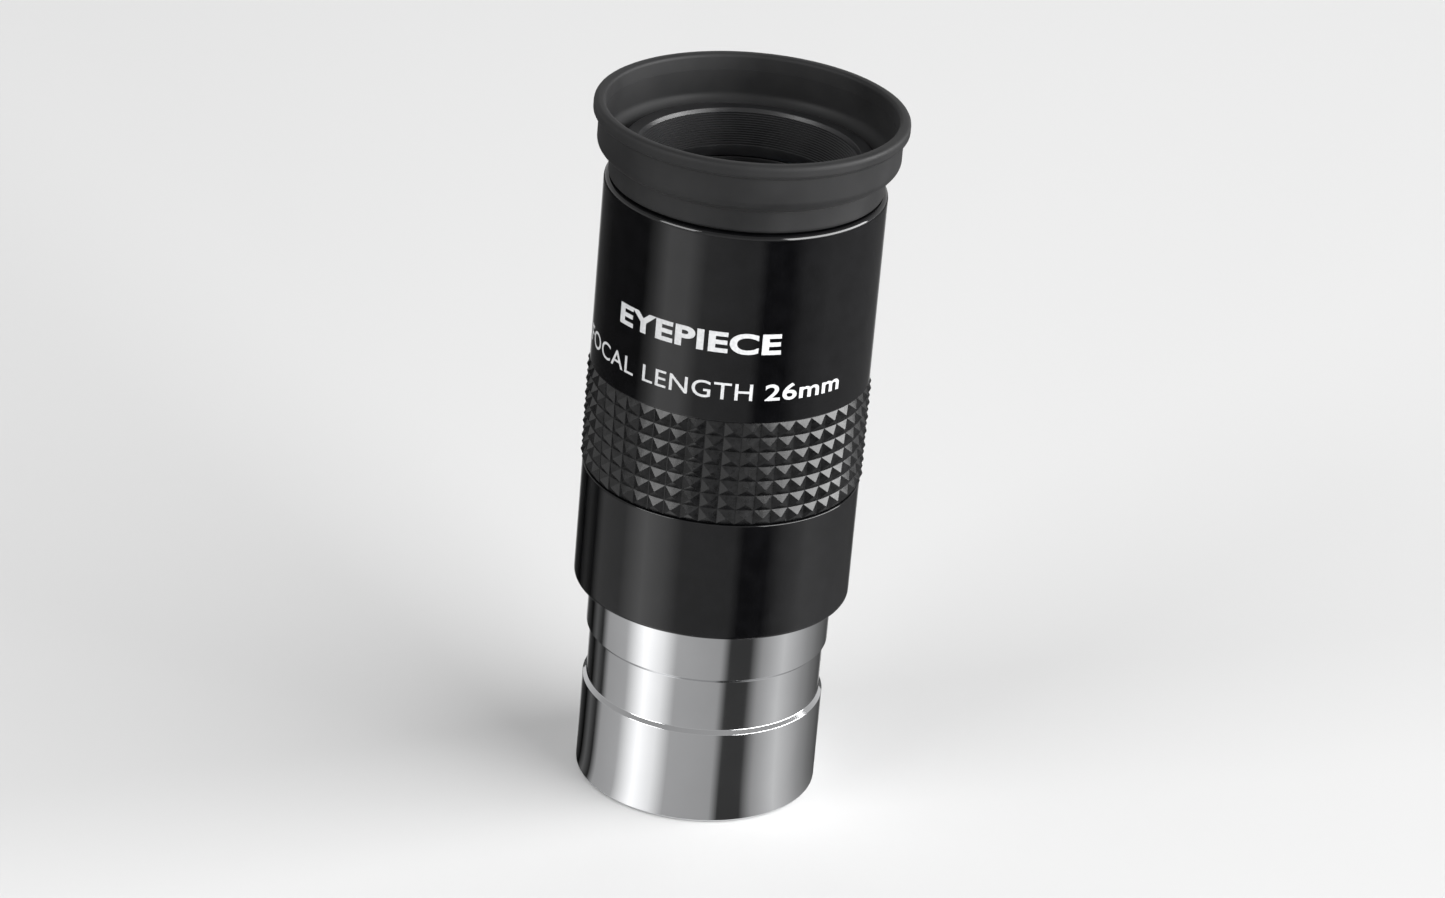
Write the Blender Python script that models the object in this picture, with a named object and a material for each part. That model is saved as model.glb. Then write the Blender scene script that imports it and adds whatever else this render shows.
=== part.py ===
"""Telescope eyepiece of 26 mm focal length for 1.25 inch focusers, piece by piece.

Metres, +Z up. The optical axis is Z. The open end of the nose barrel stands on z = 0,
the shoulder that stops in the focuser is NOSE_LENGTH above it, and the eye looks in
from the top. Every piece is turned about Z, and its heights count from the piece's own
origin, which stands on the axis at the height of its seat.
"""
import math

import bmesh
import bpy

MM = 0.001

# Round pieces have one facet for each column of the grip, so that the two line up.
GRIP_COLUMNS = 48
LENS_RINGS = 4

# Clearances between pieces.
SEAT_GAP = 0.3 * MM
RADIAL_GAP = 0.3 * MM
GLASS_GAP = 0.1 * MM
CEMENT_GAP = 0.05 * MM

# Nose barrel: plated brass, the standard 1.25 inch fit.
NOSE_DIAMETER = 31.7 * MM
NOSE_LENGTH = 28.0 * MM
NOSE_WALL = 2.15 * MM
NOSE_CHAMFER = 0.6 * MM
FILTER_THREAD_WALL = 1.6 * MM
FILTER_THREAD_DEPTH = 5.0 * MM
MOUTH_CHAMFER = 0.3 * MM
UNDERCUT_BELOW_SHOULDER = 7.0 * MM
UNDERCUT_WIDTH = 8.0 * MM
UNDERCUT_DEPTH = 0.5 * MM
SPIGOT_STEP = 0.85 * MM
SPIGOT_LENGTH = 6.0 * MM

# Field stop: a knife-edged ring in a tube at the top of the nose barrel.
FOCAL_PLANE_BELOW_LENS = 19.6 * MM
FIELD_STOP_THICKNESS = 1.0 * MM
FIELD_STOP_EDGE = 0.3 * MM
FIELD_STOP_LIP = 1.0 * MM
STOP_TUBE_WALL = 1.4 * MM
STOP_TUBE_LEDGE = 0.6 * MM
STOP_TUBE_RIM = 0.6 * MM
STOP_TUBE_THREAD_LENGTH = 4.5 * MM
STOP_TUBE_CLEARANCE = 0.5 * MM

# Optics: two cemented doublets, crowns facing each other, in a sleeve.
LENS_DIAMETER = 24.4 * MM
OUTER_CURVE = 290.0 * MM
CEMENTED_CURVE = 21.0 * MM
INNER_CURVE = 34.0 * MM
CROWN_EDGE = 1.33 * MM
FLINT_THICKNESS = 2.3 * MM
DOUBLET_AIR_GAP = 0.6 * MM
SPACER_WALL = 1.0 * MM
CELL_WALL = 2.1 * MM
CELL_SEAT_WIDTH = 1.0 * MM
CELL_SEAT_HEIGHT = 30.0 * MM
CELL_TOP_SPARE = 0.5 * MM
CELL_LIP_HEIGHT = 2.0 * MM
CELL_LIP_OVERLAP = 0.6 * MM
CELL_CHAMFER = 0.3 * MM
RETAINER_HEIGHT = 1.5 * MM
RETAINER_WALL = 0.9 * MM
NOTCH_WIDTH = 2.0 * MM
NOTCH_DEPTH = 0.8 * MM

# Main body: one black tube with a groove for the grip.
SHOULDER_WIDTH = 2.15 * MM
GROOVE_WALL = 1.7 * MM
GROOVE_DEPTH = 1.4 * MM
GROOVE_WIDTH = 14.3 * MM
GROOVE_EDGE_CHAMFER = 0.2 * MM
SLEEVE_LENGTH = 16.3 * MM
BODY_CHAMFER = 0.4 * MM
BODY_TOP_CHAMFER = 0.8 * MM
NOSE_RECESS_DEPTH = 0.4 * MM
THREAD_RELIEF = 0.6 * MM
EYE_THREAD_DEPTH = 5.4 * MM

# Grip: a rubber band of small pyramids.
GRIP_ROWS = 7
GRIP_TIP_PROUD = 0.3 * MM
GRIP_PYRAMID_HEIGHT = 0.5 * MM

# Eye end ring: clamps the lens cell and holds the rubber cup under its lip.
EYE_RING_WALL = 0.9 * MM
EYE_RING_FLANGE = 1.4 * MM
EYE_RING_LENS_OVERLAP = 0.2 * MM
EYE_RING_MOUTH_WALL = 0.8 * MM
NECK_STEP = 1.1 * MM
LIP_OVERHANG = 0.9 * MM
LIP_HEIGHT = 1.1 * MM
LIP_CHAMFER = 0.3 * MM

# Rubber eyecup: a collar on the neck, a thin skirt that rolls down, and a rim bead.
COLLAR_STEP = 0.5 * MM
COLLAR_HEIGHT = 2.6 * MM
COLLAR_ROUND = 0.6 * MM
SKIRT_HEIGHT = 4.5 * MM
SKIRT_FOOT = 0.9 * MM
SKIRT_WALL = 0.95 * MM
SKIRT_BODY_CLEARANCE = 0.35 * MM
SKIRT_TAPER = 0.2 * MM
SKIRT_FLARE_HEIGHT = 1.9 * MM
RIM_HEIGHT = 2.0 * MM
RIM_BEAD = 0.45 * MM
RIM_CHAMFER = 0.6 * MM
RIM_INNER_CHAMFER = 0.35 * MM

# Radii that follow from the driving sizes, from the light path outwards.
NOSE_RADIUS = NOSE_DIAMETER / 2
NOSE_BORE_RADIUS = NOSE_RADIUS - NOSE_WALL
FILTER_THREAD_RADIUS = NOSE_RADIUS - FILTER_THREAD_WALL
SPIGOT_THREAD_RADIUS = NOSE_RADIUS - SPIGOT_STEP
STOP_TUBE_RADIUS = NOSE_BORE_RADIUS - RADIAL_GAP
STOP_TUBE_BORE_RADIUS = STOP_TUBE_RADIUS - STOP_TUBE_WALL
LIGHT_BORE_RADIUS = STOP_TUBE_RADIUS + STOP_TUBE_CLEARANCE
LENS_RADIUS = LENS_DIAMETER / 2
# The cell is wide enough for its lenses and for the ledge that it stands on.
CELL_RADIUS = max(
    LENS_RADIUS + RADIAL_GAP + CELL_WALL,
    LIGHT_BORE_RADIUS + CELL_SEAT_WIDTH - RADIAL_GAP,
)
CELL_BORE_RADIUS = CELL_RADIUS + RADIAL_GAP
EYE_THREAD_RADIUS = CELL_BORE_RADIUS + EYE_RING_WALL + RADIAL_GAP
# The body is wide enough for its shoulder and for the wall behind the grip's groove.
BODY_RADIUS = max(
    NOSE_RADIUS + SHOULDER_WIDTH,
    CELL_BORE_RADIUS + GROOVE_WALL + GROOVE_DEPTH,
)
NECK_RADIUS = EYE_THREAD_RADIUS - NECK_STEP
COLLAR_RADIUS = BODY_RADIUS - COLLAR_STEP
# The body's top passes inside the skirt when the cup is folded down.
SKIRT_BORE_RADIUS = BODY_RADIUS + SKIRT_BODY_CLEARANCE
RIM_BORE_RADIUS = SKIRT_BORE_RADIUS + SKIRT_TAPER


def fall(curve, radius):
    """How far a spherical surface has fallen from its vertex at this radius."""
    return curve - math.sqrt(curve * curve - radius * radius)


# A crown is thick enough at its middle to leave CROWN_EDGE of glass at its rim.
OUTER_FALL = fall(OUTER_CURVE, LENS_RADIUS)
INNER_FALL = fall(INNER_CURVE, LENS_RADIUS)
CROWN_THICKNESS = fall(CEMENTED_CURVE, LENS_RADIUS) + CROWN_EDGE + INNER_FALL

# Heights above the open end of the nose barrel.
SHOULDER_HEIGHT = NOSE_LENGTH
NOSE_TOP_HEIGHT = SHOULDER_HEIGHT + NOSE_RECESS_DEPTH - SEAT_GAP
CELL_BASE_HEIGHT = SHOULDER_HEIGHT + CELL_SEAT_HEIGHT + SEAT_GAP
LENS_EDGE_HEIGHT = CELL_BASE_HEIGHT + CELL_LIP_HEIGHT + GLASS_GAP
FIELD_FLINT_HEIGHT = LENS_EDGE_HEIGHT - OUTER_FALL
FIELD_CROWN_HEIGHT = FIELD_FLINT_HEIGHT + FLINT_THICKNESS + CEMENT_GAP
EYE_CROWN_HEIGHT = FIELD_CROWN_HEIGHT + CROWN_THICKNESS + DOUBLET_AIR_GAP
EYE_FLINT_HEIGHT = EYE_CROWN_HEIGHT + CROWN_THICKNESS + CEMENT_GAP
STACK_TOP_EDGE = EYE_FLINT_HEIGHT + FLINT_THICKNESS - OUTER_FALL
RETAINER_BASE_HEIGHT = STACK_TOP_EDGE + GLASS_GAP
CELL_TOP_HEIGHT = RETAINER_BASE_HEIGHT + RETAINER_HEIGHT + CELL_TOP_SPARE
FIELD_STOP_HEIGHT = FIELD_FLINT_HEIGHT - FOCAL_PLANE_BELOW_LENS
BODY_TOP_HEIGHT = CELL_TOP_HEIGHT + SEAT_GAP + EYE_RING_FLANGE
COLLAR_BASE_HEIGHT = BODY_TOP_HEIGHT + SEAT_GAP
LIP_BASE_HEIGHT = COLLAR_BASE_HEIGHT + COLLAR_HEIGHT + SEAT_GAP
SKIRT_BASE_HEIGHT = LIP_BASE_HEIGHT
RIM_BASE_HEIGHT = SKIRT_BASE_HEIGHT + SKIRT_HEIGHT + SEAT_GAP


def clear_scene():
    for old_object in list(bpy.data.objects):
        bpy.data.objects.remove(old_object, do_unlink=True)


def material(name, colour, roughness, metallic=0.0, transmission=0.0):
    """A Principled material of one colour."""
    finish = bpy.data.materials.new(name)
    finish.use_nodes = True
    shader = finish.node_tree.nodes["Principled BSDF"]
    shader.inputs["Base Color"].default_value = (*colour, 1.0)
    shader.inputs["Roughness"].default_value = roughness
    shader.inputs["Metallic"].default_value = metallic
    shader.inputs["Transmission Weight"].default_value = transmission
    return finish


def group(name, height):
    """An empty on the optical axis that carries the pieces of one moving body."""
    carrier = bpy.data.objects.new(name, None)
    carrier.location = (0.0, 0.0, height)
    bpy.context.scene.collection.objects.link(carrier)
    return carrier


def place(name, shape, finish, height, carrier):
    """Makes one named piece from a mesh and stands it at a height on the axis."""
    shape.materials.append(finish)
    piece = bpy.data.objects.new(name, shape)
    bpy.context.scene.collection.objects.link(piece)
    piece.parent = carrier
    piece.location = (0.0, 0.0, height - carrier.location.z)
    return piece


def turned_mesh(name, outline):
    """Spins a closed outline of (radius, height) points about Z into one closed skin."""
    shape = bmesh.new()
    corners = [shape.verts.new((radius, 0.0, height)) for radius, height in outline]
    edges = []
    for first, second in zip(corners, corners[1:] + corners[:1]):
        on_axis = first.co.x == 0.0 and second.co.x == 0.0
        if not on_axis:
            edges.append(shape.edges.new((first, second)))
    bmesh.ops.spin(
        shape,
        geom=corners + edges,
        cent=(0.0, 0.0, 0.0),
        axis=(0.0, 0.0, 1.0),
        angle=2.0 * math.pi,
        steps=GRIP_COLUMNS,
        use_merge=True,
    )
    bmesh.ops.remove_doubles(shape, verts=shape.verts, dist=0.0001 * MM)
    bmesh.ops.recalc_face_normals(shape, faces=shape.faces)
    mesh = bpy.data.meshes.new(name)
    shape.to_mesh(mesh)
    shape.free()
    mesh.shade_smooth()
    mesh.set_sharp_from_angle(angle=math.radians(30))
    return mesh


def turned(name, outline, finish, height, carrier):
    return place(name, turned_mesh(name, outline), finish, height, carrier)


def lens_face(curve, bulge, vertex_height):
    """Points of a spherical face from the axis out to the lens edge.

    A bulge of 1 is a face that is highest at its middle, and -1 one that is lowest."""
    points = []
    for ring in range(LENS_RINGS + 1):
        radius = LENS_RADIUS * ring / LENS_RINGS
        points.append((radius, vertex_height - bulge * fall(curve, radius)))
    return points


def lens(name, lower_face, upper_face, finish, height, carrier):
    outline = lower_face + upper_face[::-1]
    return turned(name, outline, finish, height, carrier)


def nose_barrel(carrier):
    """The tube that slides into the focuser, with its filter thread and screwed spigot."""
    spigot = SPIGOT_THREAD_RADIUS - RADIAL_GAP
    undercut_end = NOSE_LENGTH - UNDERCUT_BELOW_SHOULDER
    undercut_start = undercut_end - UNDERCUT_WIDTH
    undercut_floor = NOSE_RADIUS - UNDERCUT_DEPTH
    outline = [
        (NOSE_RADIUS - NOSE_CHAMFER, 0.0),
        (NOSE_RADIUS, NOSE_CHAMFER),
        (NOSE_RADIUS, undercut_start),
        (undercut_floor, undercut_start + UNDERCUT_DEPTH),
        (undercut_floor, undercut_end - UNDERCUT_DEPTH),
        (NOSE_RADIUS, undercut_end),
        (NOSE_RADIUS, NOSE_TOP_HEIGHT),
        (spigot, NOSE_TOP_HEIGHT),
        (spigot, NOSE_TOP_HEIGHT + SPIGOT_LENGTH),
        (NOSE_BORE_RADIUS, NOSE_TOP_HEIGHT + SPIGOT_LENGTH),
        (NOSE_BORE_RADIUS, FILTER_THREAD_DEPTH + NOSE_WALL - FILTER_THREAD_WALL),
        (FILTER_THREAD_RADIUS, FILTER_THREAD_DEPTH),
        (FILTER_THREAD_RADIUS, MOUTH_CHAMFER),
        (FILTER_THREAD_RADIUS + MOUTH_CHAMFER, 0.0),
    ]
    chrome = material("chrome_plated_brass", (0.78, 0.79, 0.80), 0.08, metallic=1.0)
    return turned("nose_barrel", outline, chrome, 0.0, carrier)


def field_stop_tube(carrier):
    """The thin blackened tube that screws into the spigot and carries the field stop."""
    pocket = STOP_TUBE_BORE_RADIUS + STOP_TUBE_LEDGE
    base_height = NOSE_TOP_HEIGHT + SPIGOT_LENGTH - STOP_TUBE_THREAD_LENGTH
    ledge = FIELD_STOP_HEIGHT - GLASS_GAP - base_height
    top = ledge + GLASS_GAP + FIELD_STOP_THICKNESS + STOP_TUBE_RIM
    outline = [
        (STOP_TUBE_BORE_RADIUS, 0.0),
        (STOP_TUBE_RADIUS, 0.0),
        (STOP_TUBE_RADIUS, top),
        (pocket, top),
        (pocket, ledge),
        (STOP_TUBE_BORE_RADIUS, ledge),
    ]
    black = material("matt_black_tube", (0.02, 0.02, 0.02), 0.8)
    return turned("field_stop_tube", outline, black, base_height, carrier)


def field_stop_ring(carrier):
    """The ring whose sharp edge bounds the view, at the focal plane of the lenses."""
    outer = STOP_TUBE_BORE_RADIUS + STOP_TUBE_LEDGE - RADIAL_GAP
    edge = STOP_TUBE_BORE_RADIUS - FIELD_STOP_LIP
    bevel = FIELD_STOP_THICKNESS - FIELD_STOP_EDGE
    outline = [
        (edge, 0.0),
        (outer, 0.0),
        (outer, FIELD_STOP_THICKNESS),
        (edge + bevel, FIELD_STOP_THICKNESS),
        (edge, FIELD_STOP_EDGE),
    ]
    black = material("matt_black_stop", (0.015, 0.015, 0.015), 0.85)
    return turned("field_stop_ring", outline, black, FIELD_STOP_HEIGHT, carrier)


def main_body(carrier):
    """The gloss black tube: smooth sleeve, grip groove, smooth band, bored for the cell."""
    recess = NOSE_RADIUS + RADIAL_GAP
    spigot_end = NOSE_TOP_HEIGHT + SPIGOT_LENGTH + SEAT_GAP - SHOULDER_HEIGHT
    groove_floor = BODY_RADIUS - GROOVE_DEPTH
    groove_end = SLEEVE_LENGTH + GROOVE_WIDTH
    top = BODY_TOP_HEIGHT - SHOULDER_HEIGHT
    outline = [
        (recess, 0.0),
        (BODY_RADIUS - BODY_CHAMFER, 0.0),
        (BODY_RADIUS, BODY_CHAMFER),
        (BODY_RADIUS, SLEEVE_LENGTH - GROOVE_EDGE_CHAMFER),
        (BODY_RADIUS - GROOVE_EDGE_CHAMFER, SLEEVE_LENGTH),
        (groove_floor, SLEEVE_LENGTH),
        (groove_floor, groove_end),
        (BODY_RADIUS - GROOVE_EDGE_CHAMFER, groove_end),
        (BODY_RADIUS, groove_end + GROOVE_EDGE_CHAMFER),
        (BODY_RADIUS, top - BODY_TOP_CHAMFER),
        (BODY_RADIUS - BODY_TOP_CHAMFER, top),
        (EYE_THREAD_RADIUS, top),
        (EYE_THREAD_RADIUS, top - EYE_THREAD_DEPTH),
        (CELL_BORE_RADIUS, top - EYE_THREAD_DEPTH),
        (CELL_BORE_RADIUS, CELL_SEAT_HEIGHT),
        (LIGHT_BORE_RADIUS, CELL_SEAT_HEIGHT),
        (LIGHT_BORE_RADIUS, spigot_end + THREAD_RELIEF),
        (SPIGOT_THREAD_RADIUS, spigot_end),
        (SPIGOT_THREAD_RADIUS, NOSE_RECESS_DEPTH),
        (recess, NOSE_RECESS_DEPTH),
    ]
    black = material("gloss_black_aluminium", (0.008, 0.008, 0.009), 0.12)
    return turned("main_body", outline, black, SHOULDER_HEIGHT, carrier)


def grip_ring(carrier):
    """The rubber band in the body's groove, with aligned rows of small square pyramids."""
    tip = BODY_RADIUS + GRIP_TIP_PROUD
    valley = tip - GRIP_PYRAMID_HEIGHT
    inner = BODY_RADIUS - GROOVE_DEPTH + RADIAL_GAP
    height = GROOVE_WIDTH - 2 * SEAT_GAP
    shape = bmesh.new()

    def ring_of_corners(radius, level, offset=0.0):
        corners = []
        for column in range(GRIP_COLUMNS):
            turn = 2.0 * math.pi * (column + offset) / GRIP_COLUMNS
            place_of_corner = (radius * math.cos(turn), radius * math.sin(turn), level)
            corners.append(shape.verts.new(place_of_corner))
        return corners

    def bridge(lower, upper):
        for column in range(GRIP_COLUMNS):
            after = (column + 1) % GRIP_COLUMNS
            shape.faces.new((lower[column], lower[after], upper[after], upper[column]))

    levels = [height * row / GRIP_ROWS for row in range(GRIP_ROWS + 1)]
    valleys = [ring_of_corners(valley, level) for level in levels]
    for row in range(GRIP_ROWS):
        middle = (levels[row] + levels[row + 1]) / 2
        tips = ring_of_corners(tip, middle, offset=0.5)
        for column in range(GRIP_COLUMNS):
            after = (column + 1) % GRIP_COLUMNS
            base = [
                valleys[row][column],
                valleys[row][after],
                valleys[row + 1][after],
                valleys[row + 1][column],
            ]
            for first, second in zip(base, base[1:] + base[:1]):
                shape.faces.new((first, second, tips[column]))
    inner_top = ring_of_corners(inner, height)
    inner_foot = ring_of_corners(inner, 0.0)
    bridge(valleys[-1], inner_top)
    bridge(inner_top, inner_foot)
    bridge(inner_foot, valleys[0])
    bmesh.ops.recalc_face_normals(shape, faces=shape.faces)
    mesh = bpy.data.meshes.new("grip_ring")
    shape.to_mesh(mesh)
    shape.free()
    rubber = material("black_grip_rubber", (0.03, 0.03, 0.03), 0.45)
    base_height = SHOULDER_HEIGHT + SLEEVE_LENGTH + SEAT_GAP
    return place("grip_ring", mesh, rubber, base_height, carrier)


def lens_cell(carrier):
    """The blackened sleeve that holds both doublets and drops onto the body's ledge."""
    bore = LENS_RADIUS + RADIAL_GAP
    lip = LENS_RADIUS - CELL_LIP_OVERLAP
    top = CELL_TOP_HEIGHT - CELL_BASE_HEIGHT
    outline = [
        (lip, 0.0),
        (CELL_RADIUS - CELL_CHAMFER, 0.0),
        (CELL_RADIUS, CELL_CHAMFER),
        (CELL_RADIUS, top - CELL_CHAMFER),
        (CELL_RADIUS - CELL_CHAMFER, top),
        (bore, top),
        (bore, CELL_LIP_HEIGHT),
        (lip, CELL_LIP_HEIGHT),
    ]
    black = material("matt_black_cell", (0.02, 0.02, 0.02), 0.7)
    return turned("lens_cell", outline, black, CELL_BASE_HEIGHT, carrier)


def field_doublet(carrier):
    """The lower cemented pair: flint outside, crown bulging up towards the middle."""
    glass = material("flint_glass_field", (0.9, 0.95, 0.92), 0.02, transmission=1.0)
    below = lens_face(OUTER_CURVE, -1, 0.0)
    above = lens_face(CEMENTED_CURVE, -1, FLINT_THICKNESS)
    lens("field_lens_flint", below, above, glass, FIELD_FLINT_HEIGHT, carrier)
    glass = material("crown_glass_field", (0.92, 0.96, 0.95), 0.02, transmission=1.0)
    below = lens_face(CEMENTED_CURVE, -1, 0.0)
    above = lens_face(INNER_CURVE, 1, CROWN_THICKNESS)
    lens("field_lens_crown", below, above, glass, FIELD_CROWN_HEIGHT, carrier)


def eye_doublet(carrier):
    """The upper cemented pair, the mirror of the lower one."""
    glass = material("crown_glass_eye", (0.92, 0.96, 0.95), 0.02, transmission=1.0)
    below = lens_face(INNER_CURVE, -1, 0.0)
    above = lens_face(CEMENTED_CURVE, 1, CROWN_THICKNESS)
    lens("eye_lens_crown", below, above, glass, EYE_CROWN_HEIGHT, carrier)
    glass = material("flint_glass_eye", (0.9, 0.95, 0.92), 0.02, transmission=1.0)
    below = lens_face(CEMENTED_CURVE, 1, 0.0)
    above = lens_face(OUTER_CURVE, 1, FLINT_THICKNESS)
    lens("eye_lens_flint", below, above, glass, EYE_FLINT_HEIGHT, carrier)


def lens_spacer(carrier):
    """The thin ring that keeps the two crowns a fraction of a millimetre apart."""
    outer = LENS_RADIUS
    bore = outer - SPACER_WALL
    foot = FIELD_CROWN_HEIGHT + CROWN_THICKNESS - INNER_FALL + GLASS_GAP
    head = EYE_CROWN_HEIGHT + INNER_FALL - GLASS_GAP
    bevel = INNER_FALL - fall(INNER_CURVE, bore) + GLASS_GAP
    height = head - foot
    outline = [
        (bore, bevel),
        (outer, 0.0),
        (outer, height),
        (bore, height - bevel),
    ]
    black = material("matt_black_spacer", (0.02, 0.02, 0.02), 0.7)
    return turned("lens_spacer", outline, black, foot, carrier)


def lens_retaining_ring(carrier):
    """The threaded ring over the eye lens, slotted twice for a spanner."""
    outer = LENS_RADIUS
    bore = outer - RETAINER_WALL
    outline = [
        (bore, 0.0),
        (outer, 0.0),
        (outer, RETAINER_HEIGHT),
        (bore, RETAINER_HEIGHT),
    ]
    black = material("matt_black_retainer", (0.02, 0.02, 0.02), 0.6)
    ring = turned("lens_retaining_ring", outline, black, RETAINER_BASE_HEIGHT, carrier)
    slot_mesh = bpy.data.meshes.new("spanner_slots")
    slot = bmesh.new()
    bmesh.ops.create_cube(slot, size=1.0)
    size = (3 * outer, NOTCH_WIDTH, 2 * NOTCH_DEPTH)
    bmesh.ops.scale(slot, vec=size, verts=slot.verts)
    slot.to_mesh(slot_mesh)
    slot.free()
    cutter = bpy.data.objects.new("spanner_slots", slot_mesh)
    bpy.context.scene.collection.objects.link(cutter)
    cutter.parent = ring
    cutter.location = (0.0, 0.0, RETAINER_HEIGHT)
    cutter.hide_render = True
    cutter.display_type = "WIRE"
    cut = ring.modifiers.new("spanner_slots", "BOOLEAN")
    cut.operation = "DIFFERENCE"
    cut.solver = "EXACT"
    cut.object = cutter
    return ring


def eye_end_ring(carrier):
    """The ring that screws into the body, clamps the cell and keeps the rubber cup on."""
    thread = EYE_THREAD_RADIUS - RADIAL_GAP
    skirt_bore = thread - EYE_RING_WALL
    bore = LENS_RADIUS - EYE_RING_LENS_OVERLAP
    lip = NECK_RADIUS + LIP_OVERHANG
    base_height = BODY_TOP_HEIGHT - EYE_THREAD_DEPTH + SEAT_GAP
    clamp = CELL_TOP_HEIGHT + SEAT_GAP - base_height
    body_top = BODY_TOP_HEIGHT - base_height
    lip_foot = LIP_BASE_HEIGHT - base_height
    top = lip_foot + LIP_HEIGHT
    outline = [
        (bore, clamp),
        (skirt_bore, clamp),
        (skirt_bore, 0.0),
        (thread, 0.0),
        (thread, body_top),
        (NECK_RADIUS, body_top),
        (NECK_RADIUS, lip_foot),
        (lip, lip_foot),
        (lip, top - LIP_CHAMFER),
        (lip - LIP_CHAMFER, top),
        (NECK_RADIUS - EYE_RING_MOUTH_WALL, top),
        (bore, clamp + EYE_RING_FLANGE),
    ]
    black = material("satin_black_aluminium", (0.015, 0.015, 0.016), 0.35)
    return turned("eye_end_ring", outline, black, base_height, carrier)


def eyecup_collar(carrier):
    """The thick foot of the rubber cup, stretched over the neck and held by the lip."""
    bore = NECK_RADIUS + RADIAL_GAP
    outline = [
        (bore, 0.0),
        (COLLAR_RADIUS, 0.0),
        (COLLAR_RADIUS, COLLAR_HEIGHT - COLLAR_ROUND),
        (COLLAR_RADIUS - COLLAR_ROUND, COLLAR_HEIGHT),
        (bore, COLLAR_HEIGHT),
    ]
    rubber = material("black_rubber_collar", (0.02, 0.02, 0.02), 0.75)
    return turned("eyecup_collar", outline, rubber, COLLAR_BASE_HEIGHT, carrier)


def eyecup_skirt(carrier):
    """The thin wall of the rubber cup, which rolls over when the cup is folded down."""
    wall_radius = SKIRT_BORE_RADIUS + SKIRT_WALL
    outline = [
        (COLLAR_RADIUS - SKIRT_FOOT, 0.0),
        (COLLAR_RADIUS, 0.0),
        (wall_radius, SKIRT_FLARE_HEIGHT - SKIRT_WALL / 2),
        (wall_radius + SKIRT_TAPER, SKIRT_HEIGHT),
        (SKIRT_BORE_RADIUS + SKIRT_TAPER, SKIRT_HEIGHT),
        (SKIRT_BORE_RADIUS, SKIRT_FLARE_HEIGHT),
    ]
    rubber = material("black_rubber_skirt", (0.02, 0.02, 0.02), 0.75)
    return turned("eyecup_skirt", outline, rubber, SKIRT_BASE_HEIGHT, carrier)


def eyecup_rim(carrier):
    """The bead at the cup's edge, which travels down outside the body."""
    wall = RIM_BORE_RADIUS + SKIRT_WALL
    outer = wall + RIM_BEAD
    outline = [
        (RIM_BORE_RADIUS, 0.0),
        (wall, 0.0),
        (outer, RIM_CHAMFER),
        (outer, RIM_HEIGHT - RIM_CHAMFER),
        (outer - RIM_CHAMFER, RIM_HEIGHT),
        (RIM_BORE_RADIUS + RIM_INNER_CHAMFER, RIM_HEIGHT),
        (RIM_BORE_RADIUS, RIM_HEIGHT - RIM_INNER_CHAMFER),
    ]
    rubber = material("black_rubber_rim", (0.02, 0.02, 0.02), 0.75)
    return turned("eyecup_rim", outline, rubber, RIM_BASE_HEIGHT, carrier)


clear_scene()

housing = group("housing", SHOULDER_HEIGHT)
main_body(housing)
grip_ring(housing)
lens_cell(housing)
field_doublet(housing)
lens_spacer(housing)
eye_doublet(housing)
lens_retaining_ring(housing)
eye_end_ring(housing)
eyecup_collar(housing)
eyecup_skirt(housing)

cup_fold = group("cup_fold", RIM_BASE_HEIGHT)
eyecup_rim(cup_fold)

stop_carrier = group("stop_carrier", SHOULDER_HEIGHT)
field_stop_tube(stop_carrier)
field_stop_ring(stop_carrier)

nose_carrier = group("nose_carrier", 0.0)
nose_barrel(nose_carrier)

bpy.context.view_layer.update()
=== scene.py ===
"""Looks of a 26 mm telescope eyepiece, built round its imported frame.

Metres, +Z up, the optical axis on Z and the nose barrel standing on z = 0. Each section
is one piece of the eyepiece, in the order in which it goes together on the bench.
"""
import math

import bmesh
import bpy
from mathutils import Euler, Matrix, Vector


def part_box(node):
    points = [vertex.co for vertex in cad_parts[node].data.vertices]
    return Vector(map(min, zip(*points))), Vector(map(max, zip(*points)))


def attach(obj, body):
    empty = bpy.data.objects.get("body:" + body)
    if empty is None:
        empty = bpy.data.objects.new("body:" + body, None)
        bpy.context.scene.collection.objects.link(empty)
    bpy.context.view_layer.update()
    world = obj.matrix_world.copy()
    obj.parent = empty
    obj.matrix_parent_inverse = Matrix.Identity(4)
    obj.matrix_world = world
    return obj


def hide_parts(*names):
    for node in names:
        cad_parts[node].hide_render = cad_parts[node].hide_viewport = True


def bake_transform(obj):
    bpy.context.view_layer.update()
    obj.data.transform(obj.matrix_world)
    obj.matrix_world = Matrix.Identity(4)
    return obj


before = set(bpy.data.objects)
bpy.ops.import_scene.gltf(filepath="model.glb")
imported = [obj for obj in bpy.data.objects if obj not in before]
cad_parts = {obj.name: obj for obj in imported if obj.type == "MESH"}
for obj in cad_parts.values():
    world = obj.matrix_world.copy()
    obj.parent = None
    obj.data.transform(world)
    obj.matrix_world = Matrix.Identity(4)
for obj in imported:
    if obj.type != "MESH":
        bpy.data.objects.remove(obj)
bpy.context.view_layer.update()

# ---------------------------------------------------------------------------------------
# Main body. One aluminium tube turned on a lathe: smooth sleeve, groove for the grip and
# smooth band, threaded at both ends, anodised and then lacquered deep gloss black.
# ---------------------------------------------------------------------------------------
MM = 0.001
MICRON = 0.000001
LATHE_STEPS = 256
THREAD_ROWS = 8
THREAD_FLAT = 0.15
LONGEST_FILLET = 0.45
SHADING_LEAD = 1.1
FILLET_STEPS = 4
MASK_EDGE = 0.01 * MM


def thread_depth_at(turns):
    """How deep a 60 degree thread with a flat crest and root is, from 0 to 1."""
    share = turns - math.floor(turns)
    slope = 1.0 + 2.0 * THREAD_FLAT
    return min(1.0, max(0.0, slope * abs(2.0 * share - 1.0) - THREAD_FLAT))


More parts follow.
